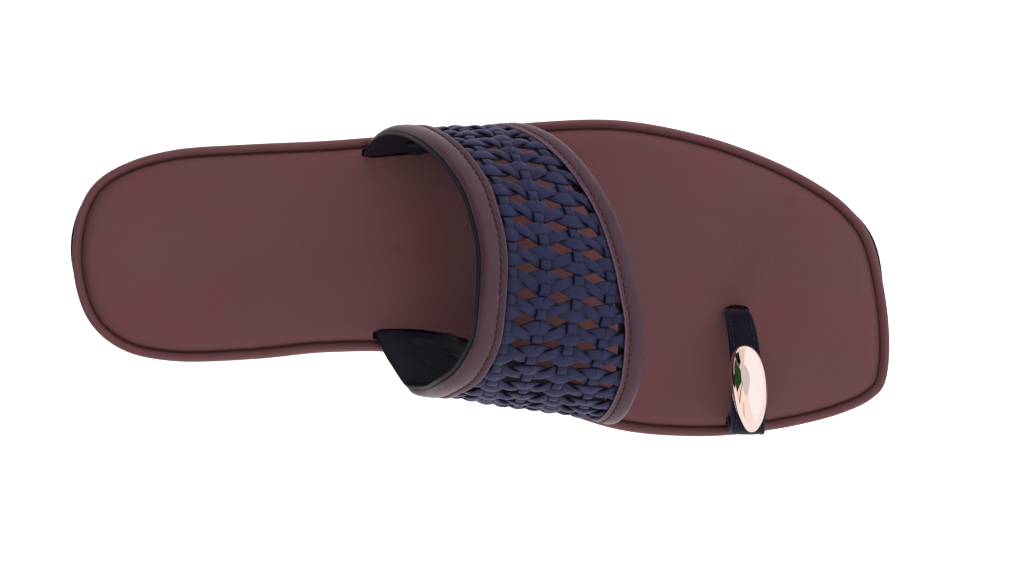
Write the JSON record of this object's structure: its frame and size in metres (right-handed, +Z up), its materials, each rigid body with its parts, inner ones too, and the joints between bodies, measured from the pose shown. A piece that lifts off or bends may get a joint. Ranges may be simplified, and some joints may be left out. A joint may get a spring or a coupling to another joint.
{
  "type": "toe loop sandal",
  "caption": "Left flat slide sandal with a wrapped leather footbed, a woven instep band, a loop for the big toe and an egg-shaped metal ornament.",
  "frame": {"origin": "bottom centre of the bounding box, on the floor under the arch", "axes": "+X from heel to toe, +Y to the outer side of the foot, +Z up; the floor is z = 0"},
  "size_m": [0.2569, 0.0997, 0.0888],
  "materials": {
    "outsole_rubber": "matt black rubber",
    "footbed_leather": "matt nubuck-like brown leather",
    "woven_leather": "satin navy leather strips",
    "binding_leather": "satin brown leather, folded and stitched",
    "lining": "matt black lining",
    "loop_leather": "satin blue-black leather",
    "polished_metal": "mirror-polished pale gold"
  },
  "bodies": {
    "root": {"outsole": "outsole_rubber", "midsole": "footbed_leather", "insole": "footbed_leather", "woven_upper": "woven_leather", "rear_binding": "binding_leather", "front_binding": "binding_leather", "rear_lining": "lining", "front_lining": "lining", "toe_loop": "loop_leather", "toe_ornament": "polished_metal"}
  },
  "joints": []
}
